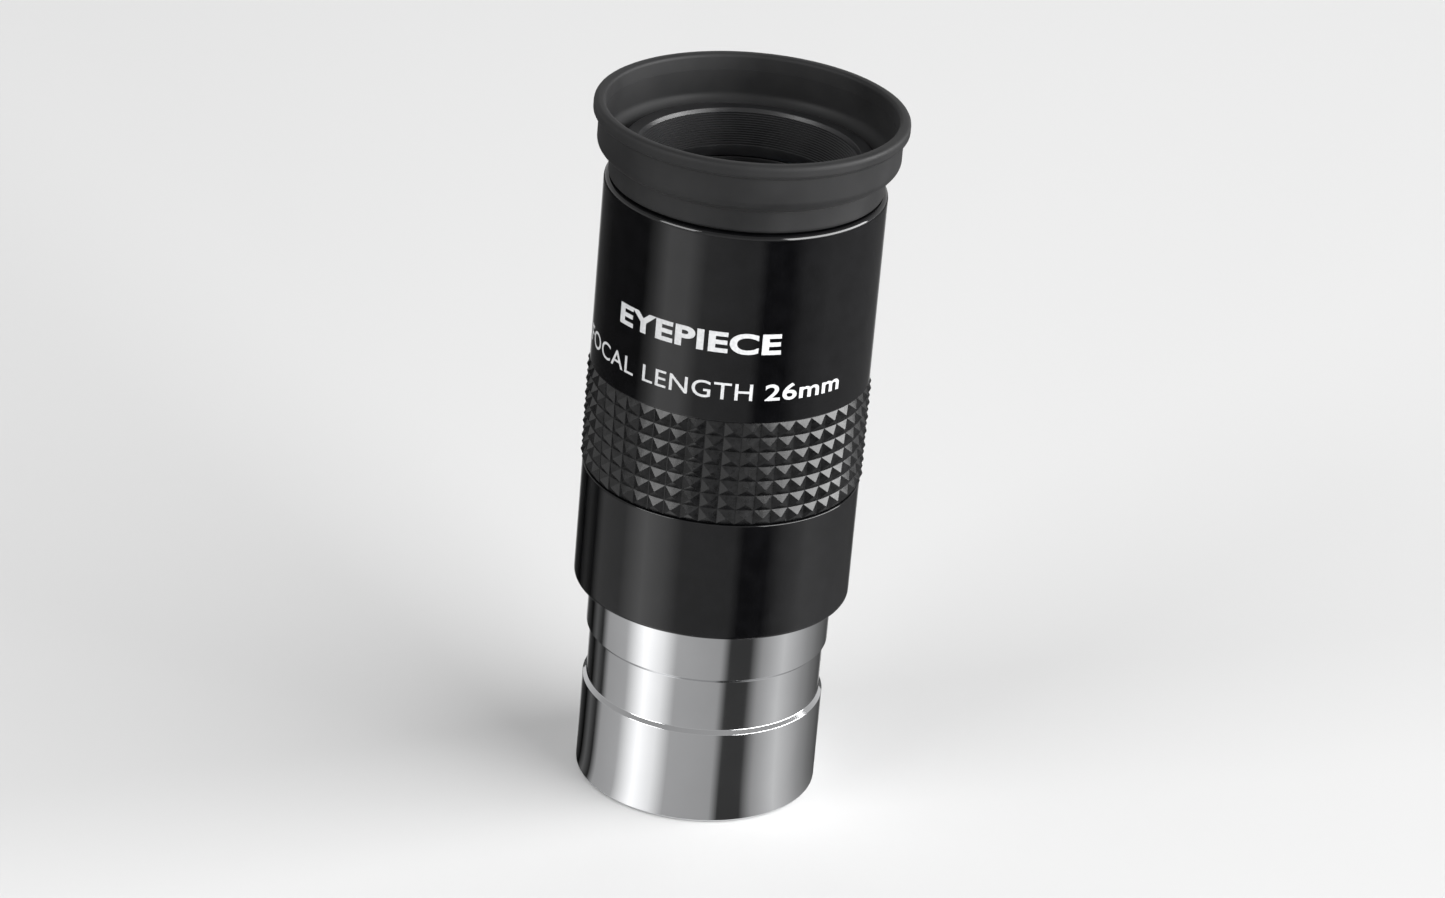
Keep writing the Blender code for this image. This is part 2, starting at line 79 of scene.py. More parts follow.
def threaded(radius, start, end, pitch, depth):
    """Lathe points of a thread that runs out at both ends; a negative depth cuts inwards."""
    points = []
    length = abs(end - start)
    rows = round(length / pitch * THREAD_ROWS)
    for row in range(rows + 1):
        travelled = length * row / rows
        left = length - travelled
        cut = depth * min(1.0, travelled / pitch, left / pitch)
        height = start + (end - start) * row / rows
        points.append((radius, height, 0.0, cut, pitch))
    return points


def turned(name, outline):
    """Turns lathe points (radius, height, thread depth, pitch) about Z into one skin."""
    skin = bmesh.new()
    rings = []
    for radius, height, *thread in outline:
        steps = 1 if radius == 0.0 else LATHE_STEPS
        ring = []
        for step in range(steps):
            share = step / steps
            here = radius
            if thread:
                depth, pitch = thread
                here += depth * thread_depth_at(height / pitch - share)
            turn = 2.0 * math.pi * share
            ring.append(skin.verts.new((here * math.cos(turn), here * math.sin(turn), height)))
        rings.append(ring)
    for ring, after in zip(rings, rings[1:] + rings[:1]):
        if len(ring) == 1 and len(after) == 1:
            continue
        for step in range(LATHE_STEPS):
            following = step + 1
            corners = [ring[step % len(ring)], ring[following % len(ring)]]
            corners += [after[following % len(after)], after[step % len(after)]]
            skin.faces.new(list(dict.fromkeys(corners)))
    bmesh.ops.recalc_face_normals(skin, faces=skin.faces)
    mesh = bpy.data.meshes.new(name)
    skin.to_mesh(mesh)
    skin.free()
    return mesh


def rounded(corners):
    """Lathe points from (radius, height, fillet) corners, with each fillet as an arc.

    A point just before and after each arc keeps the shading of the straight wall flat."""
    points = []
    for index, (radius, height, fillet, *thread) in enumerate(corners):
        if fillet <= 0.0:
            points.append((radius, height, *thread))
            continue
        here = Vector((radius, height))
        before = Vector(corners[index - 1][:2]) - here
        after = Vector(corners[(index + 1) % len(corners)][:2]) - here
        reach = fillet / math.tan(before.angle(after) / 2)
        reach = min(reach, before.length * LONGEST_FILLET, after.length * LONGEST_FILLET)
        start = here + before.normalized() * reach
        end = here + after.normalized() * reach
        lead_in = here + before.normalized() * reach * SHADING_LEAD
        lead_out = here + after.normalized() * reach * SHADING_LEAD
        points.append((lead_in.x, lead_in.y))
        for step in range(FILLET_STEPS + 1):
            share = step / FILLET_STEPS
            point = start.lerp(here, share).lerp(here.lerp(end, share), share)
            points.append((point.x, point.y))
        points.append((lead_out.x, lead_out.y))
    return points


def add_piece(name, mesh, material, body, stands_for=(), sharp=35.0):
    """One named piece of the eyepiece, riding its body and shown for its CAD nodes."""
    mesh.materials.append(material)
    mesh.shade_smooth()
    mesh.set_sharp_from_angle(angle=math.radians(sharp))
    piece = bpy.data.objects.new(name, mesh)
    bpy.context.scene.collection.objects.link(piece)
    if body:
        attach(piece, body)
    if stands_for:
        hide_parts(*stands_for)
    return piece


class Finish:
    """A Principled material with short calls for the noise, lines and bumps in it."""

    def __init__(self, name, colour, roughness, **sockets):
        self.material = bpy.data.materials.new(name)
        self.material.use_nodes = True
        self.nodes = self.material.node_tree.nodes
        self.links = self.material.node_tree.links
        self.shader = self.nodes["Principled BSDF"]
        self.shader.inputs["Base Color"].default_value = (*colour, 1.0)
        self.shader.inputs["Roughness"].default_value = roughness
        for socket, value in sockets.items():
            self.shader.inputs[socket.replace("_", " ")].default_value = value
        self.place = self.nodes.new("ShaderNodeTexCoord").outputs["Object"]

    def stretched(self, across, along):
        """Places scaled across the axis and along it, for lines that run round a piece."""
        mapping = self.nodes.new("ShaderNodeMapping")
        mapping.inputs["Scale"].default_value = (across, across, along)
        self.links.new(self.place, mapping.inputs["Vector"])
        return mapping.outputs["Vector"]

    def noise(self, scale, detail=3.0, place=None):
        cloud = self.nodes.new("ShaderNodeTexNoise")
        cloud.inputs["Scale"].default_value = scale
        cloud.inputs["Detail"].default_value = detail
        self.links.new(place or self.place, cloud.inputs["Vector"])
        return cloud.outputs["Fac"]

    def span(self, source, low, high, from_low=0.3, from_high=0.7):
        """Maps a texture's value onto a range."""
        spread = self.nodes.new("ShaderNodeMapRange")
        spread.inputs["From Min"].default_value = from_low
        spread.inputs["From Max"].default_value = from_high
        spread.inputs["To Min"].default_value = low
        spread.inputs["To Max"].default_value = high
        self.links.new(source, spread.inputs["Value"])
        return spread.outputs["Result"]

    def shades(self, source, dark, light):
        """Maps a texture's value onto two colours."""
        ramp = self.nodes.new("ShaderNodeValToRGB")
        ramp.color_ramp.elements[0].position = 0.3
        ramp.color_ramp.elements[0].color = (*dark, 1.0)
        ramp.color_ramp.elements[1].position = 0.7
        ramp.color_ramp.elements[1].color = (*light, 1.0)
        self.links.new(source, ramp.inputs["Fac"])
        return ramp.outputs["Color"]

    def within(self, radius):
        """1 closer to the optical axis than a radius and 0 farther out."""
        flat = self.nodes.new("ShaderNodeVectorMath")
        flat.operation = "LENGTH"
        self.links.new(self.stretched(1.0, 0.0), flat.inputs[0])
        return self.span(flat.outputs["Value"], 1.0, 0.0, radius - MASK_EDGE, radius)

    def blend(self, mask, outside, inside):
        """One colour or value outside a mask and another inside it."""
        is_colour = isinstance(inside, tuple)
        mix = self.nodes.new("ShaderNodeMix")
        mix.data_type = "RGBA" if is_colour else "FLOAT"
        self.links.new(mask, mix.inputs["Factor"])
        if isinstance(outside, float):
            mix.inputs["A"].default_value = outside
        else:
            self.links.new(outside, mix.inputs["A"])
        mix.inputs["B"].default_value = (*inside, 1.0) if is_colour else inside
        return mix.outputs["Result"]

    def drive(self, socket, source):
        self.links.new(source, self.shader.inputs[socket])

    def bump(self, source, height, strength=1.0):
        """Raises the surface by a texture; each call adds to the ones before it."""
        relief = self.nodes.new("ShaderNodeBump")
        relief.inputs["Distance"].default_value = height
        relief.inputs["Strength"].default_value = strength
        self.links.new(source, relief.inputs["Height"])
        earlier = self.shader.inputs["Normal"].links
        if earlier:
            self.links.new(earlier[0].from_socket, relief.inputs["Normal"])
        self.links.new(relief.outputs["Normal"], self.shader.inputs["Normal"])


def gloss_black_lacquer(bore_radius):
    """Deep gloss outside, with faint handling marks, and plain flat black in the bores."""
    finish = Finish("gloss_black_lacquer", (0.002, 0.002, 0.0025), 0.08)
    bores = finish.within(bore_radius)
    handling = finish.span(finish.noise(90.0, detail=4.0), 0.05, 0.10)
    finish.drive("Roughness", finish.blend(bores, handling, 0.62))
    depth = finish.shades(finish.noise(420.0), (0.0012, 0.0012, 0.0015), (0.003, 0.003, 0.0035))
    finish.drive("Base Color", finish.blend(bores, depth, (0.012, 0.012, 0.012)))
    lathe_lines = finish.noise(1.0, place=finish.stretched(60.0, 9000.0))
    finish.bump(lathe_lines, 1.0 * MICRON)
    orange_peel = finish.noise(700.0, detail=1.0)
    finish.bump(orange_peel, 1.0 * MICRON)
    return finish.material


body_low, body_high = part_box("main_body")
grip_low, grip_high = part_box("grip_ring")
nose_low, nose_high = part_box("nose_barrel")
body_radius = body_high.x
nose_radius = nose_high.x
lacquer_depth = 1.0 * MM
seat_gap = 0.3 * MM
groove_low = grip_low.z - seat_gap
groove_high = grip_high.z + seat_gap
groove_floor = body_radius - 1.4 * MM
nose_recess = nose_radius + seat_gap
recess_depth = 0.4 * MM
spigot_thread = 15.0 * MM
spigot_pitch = 0.75 * MM
light_bore = 13.9 * MM
cell_bore = 14.9 * MM
cell_ledge = body_low.z + 30.0 * MM
eye_thread = 16.1 * MM
eye_thread_foot = body_high.z - 5.4 * MM
thread_start = body_low.z + 0.8 * MM
thread_end = body_low.z + 6.4 * MM

body_outline = rounded(
    [
        (nose_recess, body_low.z, 0.1 * MM),
        (body_radius, body_low.z, 0.45 * MM),
        (body_radius, groove_low, 0.18 * MM),
        (groove_floor, groove_low, 0.0),
        (groove_floor, groove_high, 0.0),
        (body_radius, groove_high, 0.18 * MM),
        (body_radius, body_high.z, 0.7 * MM),
        (eye_thread, body_high.z, 0.15 * MM),
        (eye_thread, eye_thread_foot, 0.0),
        (cell_bore, eye_thread_foot, 0.0),
        (cell_bore, cell_ledge, 0.0),
        (light_bore, cell_ledge, 0.1 * MM),
        (light_bore, thread_end + 0.6 * MM, 0.0),
        *threaded(spigot_thread, thread_end, thread_start, spigot_pitch, 0.25 * MM),
        (spigot_thread, body_low.z + recess_depth, 0.15 * MM),
        (nose_recess, body_low.z + recess_depth, 0.0),
    ]
)
add_piece(
    "body_tube",
    turned("body_tube", body_outline),
    gloss_black_lacquer(body_radius - lacquer_depth),
    "housing",
    stands_for=["main_body"],
)

# ---------------------------------------------------------------------------------------
# Marking. White ink, screen-printed straight on the lacquer of the upper band in two
# lines: a plain word, and under it the focal length with its figures in bold.
# ---------------------------------------------------------------------------------------
INK_THICKNESS = 0.02 * MM
INK_SUNK = INK_THICKNESS / 4
SLICE = 0.35 * MM
LETTER_SPACING = 1.06
WELD_REACH = 0.001 * MM
SLIVER = 0.002 * MM


def white_ink():
    finish = Finish("white_ink", (0.56, 0.57, 0.58), 0.45)
    cover = finish.noise(2600.0, detail=2.0)
    finish.drive("Base Color", finish.shades(cover, (0.48, 0.485, 0.495), (0.60, 0.605, 0.61)))
    finish.drive("Roughness", finish.span(cover, 0.38, 0.52))
    finish.bump(cover, 2.0 * MICRON)
    return finish.material


def flat_letters(words, weight):
    """The outlines of some words as flat faces, in the units of the type."""
    letters = bpy.data.curves.new("type", "FONT")
    letters.body = words
    letters.offset = weight
    letters.resolution_u = 8
    letters.space_character = LETTER_SPACING
    setting = bpy.data.objects.new("type", letters)
    bpy.context.scene.collection.objects.link(setting)
    bpy.context.view_layer.update()
    evaluated = setting.evaluated_get(bpy.context.evaluated_depsgraph_get())
    flat = bpy.data.meshes.new_from_object(evaluated)
    skin = bmesh.new()
    skin.from_mesh(flat)
    bpy.data.meshes.remove(flat)
    bpy.data.objects.remove(setting)
    return skin


def print_line(name, words, start_degrees, end_degrees, baseline, cap_height, weight):
    """Sets one line of words and wraps it round the body between two angles."""
    skin = flat_letters(words, weight)
    left = min(corner.co.x for corner in skin.verts)
    right = max(corner.co.x for corner in skin.verts)
    foot = min(corner.co.y for corner in skin.verts)
    head = max(corner.co.y for corner in skin.verts)
    line_length = math.radians(end_degrees - start_degrees) * body_radius
    for corner in skin.verts:
        corner.co.x = (corner.co.x - left) / (right - left) * line_length
        corner.co.y = (corner.co.y - foot) / (head - foot) * cap_height
        corner.co.z = 0.0
    bmesh.ops.remove_doubles(skin, verts=skin.verts, dist=WELD_REACH)
    for cut in range(1, int(line_length / SLICE)):
        everything = skin.verts[:] + skin.edges[:] + skin.faces[:]
        bmesh.ops.bisect_plane(
            skin,
            geom=everything,
            plane_co=(cut * SLICE, 0.0, 0.0),
            plane_no=(1.0, 0.0, 0.0),
            dist=0.01 * MICRON,
        )
    bmesh.ops.dissolve_degenerate(skin, edges=skin.edges, dist=SLIVER)
    solid = bmesh.ops.extrude_face_region(skin, geom=skin.faces[:])
    for item in solid["geom"]:
        if isinstance(item, bmesh.types.BMVert):
            item.co.z = INK_THICKNESS
    for corner in skin.verts:
        turn = math.radians(start_degrees) + corner.co.x / body_radius
        radius = body_radius - INK_SUNK + corner.co.z
        height = baseline + corner.co.y
        corner.co = (radius * math.sin(turn), -radius * math.cos(turn), height)
    bmesh.ops.recalc_face_normals(skin, faces=skin.faces)
    mesh = bpy.data.meshes.new(name)
    skin.to_mesh(mesh)
    skin.free()
    add_piece(name, mesh, ink, "housing", sharp=30.0)


ink = white_ink()
word_line = groove_high + 9.4 * MM
word_height = 2.85 * MM
focal_line = groove_high + 3.1 * MM
focal_height = 2.3 * MM
print_line(
    "print_word",
    "EYEPIECE",
    start_degrees=-52.0,
    end_degrees=20.0,
    baseline=word_line,
    cap_height=word_height,
    weight=0.035,
)
print_line(
    "print_focal_length",
    "FOCAL LENGTH",
    start_degrees=-81.0,
    end_degrees=10.0,
    baseline=focal_line,
    cap_height=focal_height,
    weight=0.004,
)
print_line(
    "print_26mm",
    "26mm",
    start_degrees=15.0,
    end_degrees=50.0,
    baseline=focal_line,
    cap_height=focal_height,
    weight=0.018,
)

# ---------------------------------------------------------------------------------------
# Grip. A moulded rubber band sprung into the groove, covered with aligned rows of small
# square pyramids whose upper faces catch the light.
# ---------------------------------------------------------------------------------------
GRIP_ROWS = 7
GRIP_COLUMNS = 48
TIP_PROUD = 0.3 * MM
PYRAMID_HEIGHT = 0.55 * MM
VALLEY_SHARE = 0.02
TIP_SHARE = 0.05
NEAR_TIP = 0.01 * MM
GRIP_EDGE_DROP = 0.02 * MM


def grip_rubber():
    finish = Finish("grip_rubber", (0.004, 0.004, 0.0044), 0.28, Specular_IOR_Level=0.4)
    skin = finish.noise(1500.0, detail=4.0)
    finish.drive("Base Color", finish.shades(skin, (0.002, 0.002, 0.0022), (0.007, 0.007, 0.0075)))
    finish.drive("Roughness", finish.span(skin, 0.24, 0.33))
    finish.bump(skin, 6.0 * MICRON)
    return finish.material


def pyramid_levels(start, pitch):
    """Where one pyramid's valley, tip flat and valley fall along a row or a column."""
    edge = pitch * VALLEY_SHARE
    flat = pitch * TIP_SHARE / 2
    middle = start + pitch / 2
    return [start + edge, middle - flat, middle + flat, start + pitch - edge]


def grip_faces(skin, corners, tip):
    """Closes one patch of the grip, folded along its ridge if one corner is on a tip."""
    raised = [corner.co.xy.length > tip - NEAR_TIP for corner in corners]
    if sum(raised) != 1:
        skin.faces.new(corners)
        return
    first = raised.index(True)
    peak, side, foot, far_side = (corners[(first + turn) % 4] for turn in range(4))
    skin.faces.new((peak, side, foot))
    skin.faces.new((peak, foot, far_side))


def grip_band_mesh():
    tip = body_radius + TIP_PROUD
    valley = tip - PYRAMID_HEIGHT
    edge = valley - GRIP_EDGE_DROP
    inner = groove_floor + 0.05 * MM
    low = groove_low + 0.1 * MM
    high = groove_high - 0.1 * MM
    row_pitch = (high - low) / GRIP_ROWS
    column_pitch = 2.0 * math.pi / GRIP_COLUMNS
    heights = []
    for row in range(GRIP_ROWS):
        heights += pyramid_levels(low + row * row_pitch, row_pitch)
    turns = []
    for column in range(GRIP_COLUMNS):
        turns += pyramid_levels(column * column_pitch, column_pitch)
    skin = bmesh.new()

    def ring_at(height, radii):
        ring = []
        for turn, radius in zip(turns, radii):
            ring.append(skin.verts.new((radius * math.cos(turn), radius * math.sin(turn), height)))
        return ring

    count = len(turns)
    valleys = [valley] * count
    pyramids = [tip if step % 4 in (1, 2) else valley for step in range(count)]
    rings = [ring_at(low, [inner] * count), ring_at(low, [edge] * count)]
    for level, height in enumerate(heights):
        rings.append(ring_at(height, pyramids if level % 4 in (1, 2) else valleys))
    rings.append(ring_at(high, [edge] * count))
    rings.append(ring_at(high, [inner] * count))
    for ring, after in zip(rings, rings[1:] + rings[:1]):
        for step in range(count):
            following = (step + 1) % count
            corners = (ring[step], ring[following], after[following], after[step])
            grip_faces(skin, corners, tip)
    bmesh.ops.recalc_face_normals(skin, faces=skin.faces)
    mesh = bpy.data.meshes.new("grip_band")
    skin.to_mesh(mesh)
    skin.free()
    return mesh


add_piece(
    "grip_band",
    grip_band_mesh(),
    grip_rubber(),
    "housing",
    stands_for=["grip_ring"],
    sharp=12.0,
)

# ---------------------------------------------------------------------------------------
# Lens cell. A thin aluminium sleeve, blackened all over, with a lip at its foot on which
# the field lens rests. It drops onto the ledge inside the body.
# ---------------------------------------------------------------------------------------
def blackened_metal(name, shine=0.55):
    """Anodised black over fine turning marks, as inside every optical tube."""
    finish = Finish(name, (0.012, 0.012, 0.013), shine)
    bloom = finish.noise(300.0, detail=5.0)
    finish.drive("Base Color", finish.shades(bloom, (0.009, 0.009, 0.010), (0.018, 0.018, 0.019)))
    finish.drive("Roughness", finish.span(bloom, shine - 0.06, shine + 0.06))
    turning_marks = finish.noise(1.0, place=finish.stretched(40.0, 12000.0))
    finish.bump(turning_marks, 3.0 * MICRON)
    return finish.material


cell_low, cell_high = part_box("lens_cell")
lens_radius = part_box("eye_lens_crown")[1].x
cell_lip = lens_radius - 0.6 * MM
cell_inside = lens_radius + 0.15 * MM
cell_seat = cell_low.z + 2.0 * MM
cell_outline = rounded(
    [
        (cell_lip, cell_low.z, 0.2 * MM),
        (cell_high.x, cell_low.z, 0.3 * MM),
        (cell_high.x, cell_high.z, 0.3 * MM),
        (cell_inside, cell_high.z, 0.2 * MM),
        (cell_inside, cell_seat, 0.0),
        (cell_lip, cell_seat, 0.15 * MM),
    ]
)
add_piece(
    "lens_sleeve",
    turned("lens_sleeve", cell_outline),
    blackened_metal("blackened_sleeve"),
    "housing",
    stands_for=["lens_cell"],
)

# ---------------------------------------------------------------------------------------
# Lenses. Two doublets with their crowns facing, each a flint cemented to a crown with
# clear cement. The free faces have an anti-reflection coating that glows green and violet.
# ---------------------------------------------------------------------------------------
OUTER_CURVE = 290.0 * MM
CEMENTED_CURVE = 21.0 * MM
INNER_CURVE = 34.0 * MM
GLASS_IOR = 1.60
VIOLET_COATING = 112.0
GREEN_COATING = 196.0
COATING_IOR = 1.38
LENS_RINGS = 20
GLASS_BEVEL = 0.12 * MM


def coated_glass(name, tint, coating):
    """Optical glass under a thin coating, whose thickness in nanometres sets its glow."""
    finish = Finish(
        name,
        tint,
        0.0,
        Transmission_Weight=1.0,
        IOR=GLASS_IOR,
        Thin_Film_Thickness=coating,
        Thin_Film_IOR=COATING_IOR,
    )
    wiped = finish.noise(160.0, detail=3.0)
    finish.drive("Roughness", finish.span(wiped, 0.0, 0.012))
    return finish.material


def sag(curve, radius):
    """How far a face has dropped below its middle at a radius, for a signed curve."""
    return math.copysign(abs(curve) - math.sqrt(curve * curve - radius * radius), curve)


def lens_mesh(name, lower_curve, upper_curve, foot, head):
    """A lens between two spheres. A curve above 0 makes its face highest at the middle."""
    lower_face = []
    upper_face = []
    for ring in range(LENS_RINGS + 1):
        radius = (lens_radius - GLASS_BEVEL) * ring / LENS_RINGS
        lower_face.append((radius, foot - sag(lower_curve, radius)))
        upper_face.append((radius, head - sag(upper_curve, radius)))
    lower_rim = (lens_radius, lower_face[-1][1] + GLASS_BEVEL)
    upper_rim = (lens_radius, upper_face[-1][1] - GLASS_BEVEL)
    return turned(name, lower_face + [lower_rim, upper_rim] + upper_face[::-1])


def clear_cement():
    """A cemented face: it matches the glass, so light crosses it unbent and unseen."""
    return Finish("clear_cement", (1.0, 1.0, 1.0), 0.0, Alpha=0.0).material


def add_lens(name, stands_for, lower_curve, upper_curve, foot, head, glass):
    """One lens. Its face with the cemented curve takes the cement, the rest the glass."""
    mesh = lens_mesh(name, lower_curve, upper_curve, foot, head)
    add_piece(name, mesh, glass, "housing", stands_for=[stands_for])
    mesh.materials.append(cement_face)
    for facet in mesh.polygons:
        curve = upper_curve if facet.normal.z > 0.0 else lower_curve
        on_face = facet.center.xy.length < lens_radius - GLASS_BEVEL
        if on_face and abs(curve) == CEMENTED_CURVE:
            facet.material_index = 1


cement_face = clear_cement()
crown_glass = coated_glass("crown_glass", (0.985, 0.995, 0.99), VIOLET_COATING)
flint_glass = coated_glass("flint_glass", (0.99, 0.995, 0.975), GREEN_COATING)
field_flint_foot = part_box("field_lens_flint")[0].z
field_crown_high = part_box("field_lens_crown")[1].z
eye_crown_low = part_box("eye_lens_crown")[0].z
eye_flint_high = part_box("eye_lens_flint")[1].z
flint_thickness = 2.3 * MM
cement = 0.05 * MM
field_joint = field_flint_foot + flint_thickness
eye_joint = eye_flint_high - flint_thickness
add_lens(
    "field_flint",
    "field_lens_flint",
    lower_curve=-OUTER_CURVE,
    upper_curve=-CEMENTED_CURVE,
    foot=field_flint_foot,
    head=field_joint,
    glass=flint_glass,
)
add_lens(
    "field_crown",
    "field_lens_crown",
    lower_curve=-CEMENTED_CURVE,
    upper_curve=INNER_CURVE,
    foot=field_joint + cement,
    head=field_crown_high,
    glass=crown_glass,
)
add_lens(
    "eye_crown",
    "eye_lens_crown",
    lower_curve=-INNER_CURVE,
    upper_curve=CEMENTED_CURVE,
    foot=eye_crown_low,
    head=eye_joint - cement,
    glass=crown_glass,
)
add_lens(
    "eye_flint",
    "eye_lens_flint",
    lower_curve=CEMENTED_CURVE,
    upper_curve=OUTER_CURVE,
    foot=eye_joint,
    head=eye_flint_high,
    glass=flint_glass,
)

# ---------------------------------------------------------------------------------------
# Spacer. A thin blackened ring with bevelled ends that stands on the field doublet's rim
# and carries the eye doublet, so that the two crowns almost touch.
# ---------------------------------------------------------------------------------------
spacer_low, spacer_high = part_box("lens_spacer")
spacer_bore = lens_radius - 1.0 * MM
crown_slope = sag(INNER_CURVE, lens_radius) - sag(INNER_CURVE, spacer_bore)
spacer_bevel = crown_slope + 0.08 * MM
spacer_outline = [
    (spacer_bore, spacer_low.z + spacer_bevel),
    (spacer_high.x, spacer_low.z),
    (spacer_high.x, spacer_high.z),
    (spacer_bore, spacer_high.z - spacer_bevel),
]
add_piece(
    "spacer_ring",
    turned("spacer_ring", spacer_outline),
    blackened_metal("blackened_spacer"),
    "housing",
    stands_for=["lens_spacer"],
)

# ---------------------------------------------------------------------------------------
# Retaining ring. A thin threaded ring screwed down on the eye lens with a flat spanner,
# whose two slots stand opposite each other in its upper face.
# ---------------------------------------------------------------------------------------
SLOT_WIDTH = 2.0 * MM
SLOT_DEPTH = 0.8 * MM
CUTTER_LENGTH = 40.0 * MM


def slotted(mesh, top):
    """Mills one slot straight across a ring, which leaves a notch at each side."""
    cutter_skin = bmesh.new()
    bmesh.ops.create_cube(cutter_skin, size=1.0)
    size = (CUTTER_LENGTH, SLOT_WIDTH, 2.0 * SLOT_DEPTH)
    bmesh.ops.scale(cutter_skin, vec=size, verts=cutter_skin.verts)
    bmesh.ops.translate(cutter_skin, vec=(0.0, 0.0, top), verts=cutter_skin.verts)
    cutter_mesh = bpy.data.meshes.new("slot_cutter")
    cutter_skin.to_mesh(cutter_mesh)
    cutter_skin.free()
    cutter = bpy.data.objects.new("slot_cutter", cutter_mesh)
    blank = bpy.data.objects.new("ring_blank", mesh)
    bpy.context.scene.collection.objects.link(cutter)
    bpy.context.scene.collection.objects.link(blank)
    cut = blank.modifiers.new("slot", "BOOLEAN")
    cut.operation = "DIFFERENCE"
    cut.solver = "EXACT"
    cut.object = cutter
    bpy.context.view_layer.update()
    evaluated = blank.evaluated_get(bpy.context.evaluated_depsgraph_get())
    milled = bpy.data.meshes.new_from_object(evaluated)
    bpy.data.objects.remove(cutter)
    bpy.data.objects.remove(blank)
    bpy.data.meshes.remove(cutter_mesh)
    return milled


retainer_low, retainer_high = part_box("lens_retaining_ring")
retainer_bore = lens_radius - 0.9 * MM
retainer_outline = rounded(
    [
        (retainer_bore, retainer_low.z, 0.1 * MM),
        (retainer_high.x, retainer_low.z, 0.1 * MM),
        (retainer_high.x, retainer_high.z, 0.1 * MM),
        (retainer_bore, retainer_high.z, 0.25 * MM),
    ]
)
retainer_blank = turned("retaining_ring", retainer_outline)
add_piece(
    "retaining_ring",
    slotted(retainer_blank, retainer_high.z),
    blackened_metal("blackened_retainer", shine=0.45),
    "housing",
    stands_for=["lens_retaining_ring"],
)

# ---------------------------------------------------------------------------------------
# Eye end ring. Screws into the top of the body and clamps the cell. Its cone is grooved
# in fine steps against stray light, and its lip keeps the rubber cup on the neck.
# ---------------------------------------------------------------------------------------
CONE_GROOVES = 14
CONE_GROOVE_DEPTH = 0.10 * MM
CONE_GROOVE_DROP = 0.15 * MM


def satin_black_anodising():
    finish = Finish("satin_black_anodising", (0.013, 0.013, 0.014), 0.34)
    cloud = finish.noise(260.0, detail=4.0)
    finish.drive("Base Color", finish.shades(cloud, (0.010, 0.010, 0.011), (0.018, 0.018, 0.019)))
    finish.drive("Roughness", finish.span(cloud, 0.28, 0.40))
    turning_marks = finish.noise(1.0, place=finish.stretched(40.0, 14000.0))
    finish.bump(turning_marks, 2.5 * MICRON)
    return finish.material


def stepped_cone(foot_radius, foot, mouth_radius, mouth):
    """Lathe points down a cone, from its mouth to its foot, as a flight of small steps."""
    points = []
    for step in range(CONE_GROOVES + 1):
        share = step / CONE_GROOVES
        radius = mouth_radius + (foot_radius - mouth_radius) * share
        height = mouth + (foot - mouth) * share
        points.append((radius, height, 0.0))
        if step < CONE_GROOVES:
            points.append((radius + CONE_GROOVE_DEPTH, height - CONE_GROOVE_DROP, 0.0))
    return points


ring_low, ring_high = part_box("eye_end_ring")
collar_low, collar_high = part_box("eyecup_collar")
ring_thread = eye_thread - seat_gap
neck_radius = 15.0 * MM
lip_radius = neck_radius + 0.9 * MM
lip_foot = collar_high.z + seat_gap
clamp_face = cell_high.z + seat_gap
clamp_bore = lens_radius - 0.2 * MM
cone_foot = clamp_face + 1.4 * MM
cone_mouth = ring_high.z - 0.5 * MM
ring_outline = rounded(
    [
        (clamp_bore, clamp_face, 0.0),
        (cell_bore, clamp_face, 0.0),
        (cell_bore, ring_low.z, 0.1 * MM),
        (ring_thread, ring_low.z, 0.2 * MM),
        (ring_thread, body_high.z, 0.0),
        (neck_radius, body_high.z, 0.0),
        (neck_radius, lip_foot, 0.0),
        (lip_radius, lip_foot, 0.12 * MM),
        (lip_radius, ring_high.z, 0.3 * MM),
        (neck_radius - 0.8 * MM, ring_high.z, 0.15 * MM),
        *stepped_cone(clamp_bore + 0.05 * MM, cone_foot, neck_radius - 1.1 * MM, cone_mouth),
        (clamp_bore, cone_foot - 0.2 * MM, 0.0),
    ]
)
add_piece(
    "eye_end",
    turned("eye_end", ring_outline),
    satin_black_anodising(),
    "housing",
    stands_for=["eye_end_ring"],
    sharp=28.0,
)

# ---------------------------------------------------------------------------------------
# Eyecup. One moulding of soft black rubber: a thick collar stretched over the neck, a thin
# skirt, and a bead at the rim. Rolled down for spectacles, the skirt turns inside out.
# ---------------------------------------------------------------------------------------
SKIRT_STEPS = 24
SKIRT_FLARE = 2.6


def cup_rubber():
    finish = Finish(
        "cup_rubber",
        (0.011, 0.011, 0.0115),
        0.6,
        Specular_IOR_Level=0.3,
        Sheen_Weight=0.02,
        Sheen_Roughness=0.5,
    )
    bloom = finish.noise(120.0, detail=6.0)
    finish.drive("Base Color", finish.shades(bloom, (0.007, 0.007, 0.0075), (0.016, 0.016, 0.0165)))
    finish.drive("Roughness", finish.span(bloom, 0.52, 0.68))
    grain = finish.noise(2400.0, detail=3.0)
    finish.bump(grain, 6.0 * MICRON)
    return finish.material


def skirt_face(foot_radius, top_radius):
    """Points up one face of the skirt, which flares out above its foot and then stands."""
    points = []
    for step in range(1, SKIRT_STEPS + 1):
        share = step / SKIRT_STEPS
        spread = 1.0 - (1.0 - min(1.0, share * SKIRT_FLARE)) ** 2
        height = skirt_foot + (bead_height - skirt_foot) * share
        points.append((foot_radius + (top_radius - foot_radius) * spread, height))
    return points


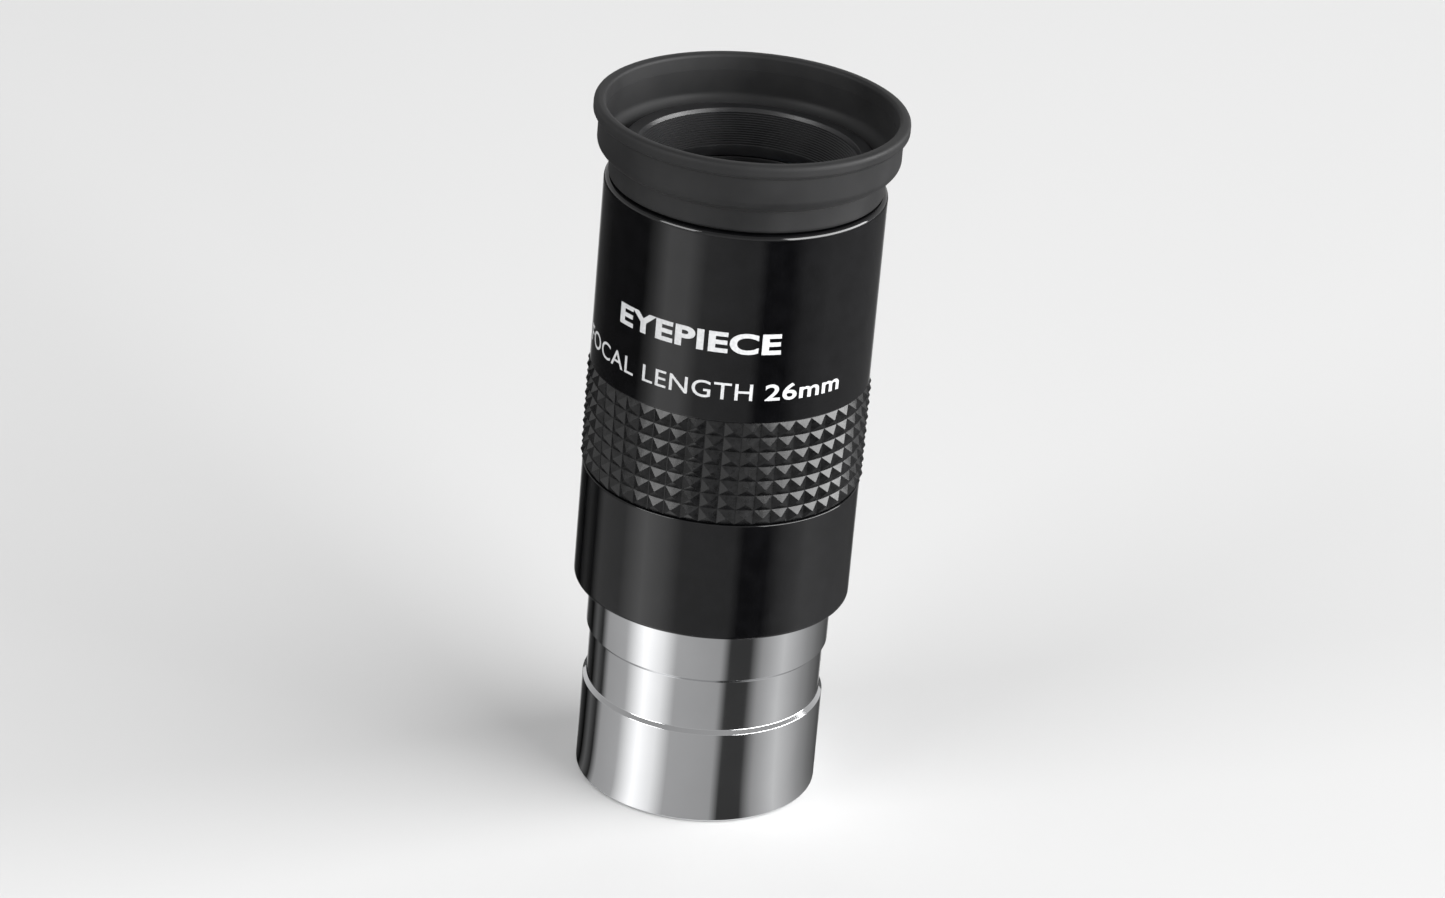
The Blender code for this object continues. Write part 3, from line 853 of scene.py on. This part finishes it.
rubber = cup_rubber()
rim_low, rim_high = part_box("eyecup_rim")
skirt_bore = body_radius + 0.36 * MM
skirt_outer = skirt_bore + 0.85 * MM
collar_bore = neck_radius + 0.05 * MM
collar_foot = collar_low.z - 0.15 * MM
collar_head = collar_high.z + 0.25 * MM
lip_pocket = lip_radius + 0.12 * MM
collar_outline = rounded(
    [
        (collar_bore, collar_foot, 0.2 * MM),
        (collar_high.x, collar_foot, 0.45 * MM),
        (collar_high.x, collar_head, 0.15 * MM),
        (lip_pocket, collar_head, 0.2 * MM),
        (lip_pocket, collar_high.z, 0.0),
        (collar_bore, collar_high.z, 0.1 * MM),
    ]
)
add_piece(
    "cup_collar",
    turned("cup_collar", collar_outline),
    rubber,
    "housing",
    stands_for=["eyecup_collar"],
)

skirt_foot = collar_high.z + 0.05 * MM
bead_height = rim_low.z - 0.1 * MM
foot_inner = collar_high.x - 0.75 * MM
foot_outer = collar_high.x - 0.12 * MM
skirt_outline = [
    (foot_inner, skirt_foot),
    (foot_outer, skirt_foot),
    *skirt_face(foot_outer, skirt_outer),
    *reversed(skirt_face(foot_inner, skirt_bore)),
]
skirt = add_piece(
    "cup_skirt",
    turned("cup_skirt", skirt_outline),
    rubber,
    None,
    stands_for=["eyecup_skirt"],
)
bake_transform(skirt)

bead_foot = bead_height - 0.05 * MM
bead_outline = rounded(
    [
        (skirt_bore + 0.02 * MM, bead_foot, 0.0),
        (skirt_outer - 0.02 * MM, bead_foot, 0.0),
        (skirt_outer, bead_height + 0.15 * MM, 0.1 * MM),
        (rim_high.x, bead_height + 0.55 * MM, 0.45 * MM),
        (rim_high.x, rim_high.z, 0.75 * MM),
        (skirt_bore + 0.15 * MM, rim_high.z, 0.5 * MM),
    ]
)
add_piece(
    "cup_rim",
    turned("cup_rim", bead_outline),
    rubber,
    "eyecup_rim",
    stands_for=["eyecup_rim"],
)

# ---------------------------------------------------------------------------------------
# Nose barrel. Brass tube, polished and chromed outside, with the undercut that stops it
# slipping from a focuser, a filter thread at its mouth, and a screwed spigot at its top.
# ---------------------------------------------------------------------------------------
FILTER_PITCH = 0.6 * MM
BAFFLE_PITCH = 0.8 * MM
BAFFLE_DEPTH = 0.22 * MM


def chrome_plate(bore_radius):
    """Bright chrome outside and flat black paint in the bore, which stray light can't cross; the same
    black also covers the spigot's relief groove and thread roots, as painted shade in those recesses.
    """
    finish = Finish("chrome_plate", (0.66, 0.665, 0.675), 0.08, Metallic=1.0)
    bore = finish.within(bore_radius)
    hand_marks = finish.noise(70.0, detail=5.0)
    finish.drive("Roughness", finish.blend(bore, finish.span(hand_marks, 0.05, 0.13), 0.7))
    plating = finish.shades(hand_marks, (0.62, 0.625, 0.635), (0.69, 0.695, 0.705))
    finish.drive("Base Color", finish.blend(bore, plating, (0.012, 0.012, 0.012)))
    finish.drive("Metallic", finish.blend(bore, 1.0, 0.0))
    turning_marks = finish.noise(1.0, place=finish.stretched(30.0, 16000.0))
    finish.bump(turning_marks, 1.2 * MICRON)
    return finish.material


def baffled(radius, start, end, pitch, depth):
    """Lathe points of plain V grooves cut into a bore, which break up stray reflections."""
    points = []
    grooves = int(abs(end - start) / pitch)
    step = math.copysign(pitch, end - start)
    for groove in range(grooves):
        height = start + step * groove
        points.append((radius, height, 0.0))
        points.append((radius + depth, height + step / 2, 0.0))
    points.append((radius, start + step * grooves, 0.0))
    return points


filter_thread = 14.25 * MM
# Inside this radius all is black: the bore's real paint, and also the spigot's relief groove and
# thread roots, where the black is painted shade in the recesses.
painted_bore = filter_thread + 0.27 * MM
nose_bore = 13.7 * MM
filter_thread_end = nose_low.z + 4.9 * MM
spigot_radius = spigot_thread - seat_gap
spigot_relief = spigot_radius - 0.35 * MM
nose_top = body_low.z + recess_depth - seat_gap
spigot_top = nose_high.z
undercut_high = body_low.z - 7.0 * MM
undercut_low = undercut_high - 8.0 * MM
undercut_depth = 0.5 * MM
undercut_radius = nose_radius - undercut_depth
nose_outline = rounded(
    [
        (nose_radius, nose_low.z, 0.6 * MM),
        (nose_radius, undercut_low, 0.1 * MM),
        (undercut_radius, undercut_low + undercut_depth, 0.15 * MM),
        (undercut_radius, undercut_high - undercut_depth, 0.15 * MM),
        (nose_radius, undercut_high, 0.1 * MM),
        (nose_radius, nose_top, 0.15 * MM),
        (spigot_relief, nose_top, 0.0),
        (spigot_relief, nose_top + 0.5 * MM, 0.0),
        *threaded(spigot_radius, nose_top + 0.7 * MM, spigot_top - 0.3 * MM, spigot_pitch, -0.3 * MM),
        (spigot_radius - 0.3 * MM, spigot_top, 0.0),
        (nose_bore, spigot_top, 0.15 * MM),
        (nose_bore, spigot_top - 5.0 * MM, 0.0),
        *baffled(nose_bore, spigot_top - 6.0 * MM, nose_low.z + 6.5 * MM, BAFFLE_PITCH, BAFFLE_DEPTH),
        (nose_bore, nose_low.z + 5.6 * MM, 0.0),
        (filter_thread + 0.1 * MM, nose_low.z + 5.2 * MM, 0.0),
        *threaded(filter_thread, filter_thread_end, nose_low.z + 0.35 * MM, FILTER_PITCH, 0.25 * MM),
        (filter_thread + 0.35 * MM, nose_low.z, 0.1 * MM),
    ]
)
add_piece(
    "nose_tube",
    turned("nose_tube", nose_outline),
    chrome_plate(painted_bore),
    "nose",
    stands_for=["nose_barrel"],
    sharp=30.0,
)

# ---------------------------------------------------------------------------------------
# Field stop. A flat ring with a sharp edge, seated in the top of a thin blackened tube.
# The tube screws into the spigot, and its bore is grooved against stray light.
# ---------------------------------------------------------------------------------------
tube_low, tube_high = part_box("field_stop_tube")
stop_low, stop_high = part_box("field_stop_ring")
tube_bore = 12.0 * MM
stop_pocket = tube_bore + 0.6 * MM
stop_ledge = stop_low.z - 0.1 * MM
tube_outline = rounded(
    [
        (tube_high.x, tube_low.z, 0.2 * MM),
        *threaded(tube_high.x, tube_low.z + 0.3 * MM, spigot_top - 0.2 * MM, 0.5 * MM, -0.2 * MM),
        (tube_high.x, spigot_top, 0.0),
        (tube_high.x, tube_high.z, 0.3 * MM),
        (stop_pocket, tube_high.z, 0.1 * MM),
        (stop_pocket, stop_ledge, 0.0),
        (tube_bore, stop_ledge, 0.0),
        *baffled(tube_bore, stop_ledge - 0.5 * MM, tube_low.z + 0.9 * MM, BAFFLE_PITCH, BAFFLE_DEPTH),
        (tube_bore, tube_low.z, 0.15 * MM),
    ]
)
add_piece(
    "stop_tube",
    turned("stop_tube", tube_outline),
    blackened_metal("blackened_tube", shine=0.6),
    "field_stop",
    stands_for=["field_stop_tube"],
    sharp=30.0,
)
stop_edge = tube_bore - 1.0 * MM
stop_outline = [
    (stop_edge, stop_low.z),
    (stop_high.x, stop_low.z),
    (stop_high.x, stop_high.z),
    (tube_bore - 0.3 * MM, stop_high.z),
    (stop_edge, stop_low.z + 0.12 * MM),
]
add_piece(
    "stop_ring",
    turned("stop_ring", stop_outline),
    blackened_metal("blackened_stop", shine=0.65),
    "field_stop",
    stands_for=["field_stop_ring"],
    sharp=30.0,
)

# ---------------------------------------------------------------------------------------
# Studio. A pale floor that stays under the nose barrel as it is screwed out, two soft
# boxes at the sides, and a striped reflector mat on the floor that only glossy surfaces
# see, which draws the light and dark bands on the lacquer.
# ---------------------------------------------------------------------------------------
HALF_FLOOR = 2.2
LAMP_AIM = Vector((0.0, 0.0, 0.05))
LAMP_DISTANCE = 2.4


def studio_air(wall_brightness, ceiling_brightness):
    """Even light from all round, as from pale walls that darken towards the ceiling."""
    air = bpy.data.worlds.new("studio_air")
    air.use_nodes = True
    nodes = air.node_tree.nodes
    links = air.node_tree.links
    direction = nodes.new("ShaderNodeTexCoord")
    height = nodes.new("ShaderNodeSeparateXYZ")
    fall_off = nodes.new("ShaderNodeMapRange")
    fall_off.inputs["From Min"].default_value = 0.1
    fall_off.inputs["From Max"].default_value = 0.5
    fall_off.inputs["To Min"].default_value = wall_brightness
    fall_off.inputs["To Max"].default_value = ceiling_brightness
    links.new(direction.outputs["Generated"], height.inputs["Vector"])
    links.new(height.outputs["Z"], fall_off.inputs["Value"])
    links.new(fall_off.outputs["Result"], nodes["Background"].inputs["Strength"])
    nodes["Background"].inputs["Color"].default_value = (1.0, 1.0, 1.0, 1.0)
    return air


def pale_floor():
    sides = [(-1, -1), (1, -1), (1, 1), (-1, 1)]
    corners = [(HALF_FLOOR * x, HALF_FLOOR * y, 0.0) for x, y in sides]
    mesh = bpy.data.meshes.new("floor")
    mesh.from_pydata(corners, [], [(0, 1, 2, 3)])
    mesh.materials.append(Finish("pale_floor", (0.67, 0.67, 0.67), 0.8).material)
    floor = bpy.data.objects.new("floor", mesh)
    bpy.context.scene.collection.objects.link(floor)
    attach(floor, "nose")


def soft_box(name, azimuth, elevation, width, height, power):
    """A soft box that looks at the middle of the eyepiece. Azimuth 0 is in front of it."""
    around = math.radians(azimuth)
    up = math.radians(elevation)
    out = Vector((math.sin(around) * math.cos(up), -math.cos(around) * math.cos(up), math.sin(up)))
    lamp = bpy.data.lights.new(name, "AREA")
    lamp.shape = "RECTANGLE"
    lamp.size = width
    lamp.size_y = height
    lamp.energy = power
    box = bpy.data.objects.new(name, lamp)
    box.location = LAMP_AIM + out * LAMP_DISTANCE
    box.rotation_euler = out.to_track_quat("Z", "Y").to_euler()
    box.visible_camera = False
    bpy.context.scene.collection.objects.link(box)


# Stripes of the mat: where round the body they are seen, and how bright near it and far off.
MAT_STRIPES = [
    (-90, 0.60, 0.60),
    (-85, 0.45, 0.45),
    (-80, 0.06, 0.10),
    (-70, 0.00, 0.06),
    (-64, 0.12, 0.04),
    (-58, 0.02, 0.04),
    (-53, 0.42, 0.04),
    (-40, 0.50, 0.05),
    (-35, 1.00, 0.45),
    (-29, 1.60, 1.20),
    (-20, 1.15, 1.15),
    (-13, 0.50, 0.50),
    (8, 0.42, 0.35),
    (12, 0.05, 0.03),
    (22, 0.05, 0.03),
    (28, 0.40, 0.25),
    (40, 0.75, 0.40),
    (56, 0.36, 0.26),
    (66, 0.20, 0.18),
    (76, 0.10, 0.14),
    (80, 0.08, 0.14),
    (85, 0.45, 0.45),
    (90, 0.60, 0.60),
]
MAT_FADE = 0.4
MAT_NEAR = 0.100
MAT_FAR = 0.120
MAT_REACH = [0.0, MAT_NEAR, MAT_FAR, 0.230, 1.2]
MAT_HEIGHT = 0.4 * MM


def mat_brightness(degrees, reach):
    """Brightness of the mat at an angle round the body and a distance from it."""
    for (low, near_low, far_low), (high, near_high, far_high) in zip(MAT_STRIPES, MAT_STRIPES[1:]):
        if low <= degrees <= high:
            share = (degrees - low) / (high - low)
            near = near_low + (near_high - near_low) * share
            far = far_low + (far_high - far_low) * share
    outward = min(1.0, max(0.0, (reach - MAT_NEAR) / (MAT_FAR - MAT_NEAR)))
    fade = MAT_FADE if reach == MAT_REACH[-1] else 1.0
    return (near + (far - near) * outward) * fade


def reflector_mat():
    """Stripes run out from the body in the directions in which its wall reflects them."""
    skin = bmesh.new()
    layer = skin.verts.layers.float.new("brightness")
    inner_edge = nose_radius - 1.0 * MM
    rows = []
    for degrees in range(-90, 91):
        around = math.radians(degrees)
        foot = Vector((math.sin(around), -math.cos(around), 0.0)) * inner_edge
        out = Vector((math.sin(2 * around), -math.cos(2 * around), 0.0))
        row = []
        for reach in MAT_REACH:
            corner = skin.verts.new(foot + out * reach + Vector((0.0, 0.0, MAT_HEIGHT)))
            corner[layer] = mat_brightness(degrees, reach)
            row.append(corner)
        rows.append(row)
    for row, after in zip(rows, rows[1:]):
        for near in range(len(MAT_REACH) - 1):
            far = near + 1
            skin.faces.new((row[near], after[near], after[far], row[far]))
    mesh = bpy.data.meshes.new("reflector_mat")
    skin.to_mesh(mesh)
    skin.free()
    material = bpy.data.materials.new("mat_glow")
    material.use_nodes = True
    nodes = material.node_tree.nodes
    nodes.clear()
    stripes = nodes.new("ShaderNodeAttribute")
    stripes.attribute_name = "brightness"
    glow = nodes.new("ShaderNodeEmission")
    output = nodes.new("ShaderNodeOutputMaterial")
    material.node_tree.links.new(stripes.outputs["Fac"], glow.inputs["Strength"])
    material.node_tree.links.new(glow.outputs["Emission"], output.inputs["Surface"])
    mesh.materials.append(material)
    mat = bpy.data.objects.new("reflector_mat", mesh)
    mat.visible_camera = False
    mat.visible_diffuse = False
    mat.visible_transmission = False
    mat.visible_shadow = False
    bpy.context.scene.collection.objects.link(mat)
    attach(mat, "nose")


def studio_camera(place, aim, lean_degrees, focal_length):
    """A camera on a 36 mm frame, which leans to the side about its line of sight."""
    optics = bpy.data.cameras.new("camera")
    optics.lens = focal_length
    optics.sensor_width = 36.0
    optics.clip_start = 0.01
    optics.clip_end = 20.0
    camera = bpy.data.objects.new("camera", optics)
    camera.location = place
    look = (aim - place).to_track_quat("-Z", "Y")
    lean = Euler((0.0, 0.0, math.radians(lean_degrees))).to_quaternion()
    camera.rotation_mode = "QUATERNION"
    camera.rotation_quaternion = look @ lean
    bpy.context.scene.collection.objects.link(camera)
    return camera


bpy.context.scene.view_settings.view_transform = "Standard"
bpy.context.scene.world = studio_air(wall_brightness=0.72, ceiling_brightness=0.42)
pale_floor()
soft_box("right_box", azimuth=75.0, elevation=18.0, width=3.8, height=1.25, power=165.0)
soft_box("left_box", azimuth=-52.0, elevation=24.0, width=1.3, height=1.2, power=30.0)
reflector_mat()
bpy.context.scene.camera = studio_camera(
    place=Vector((0.0, -0.5687, 0.3127)),
    aim=Vector((0.0, 0.0, 0.0465)),
    lean_degrees=5.1,
    focal_length=121.0,
)
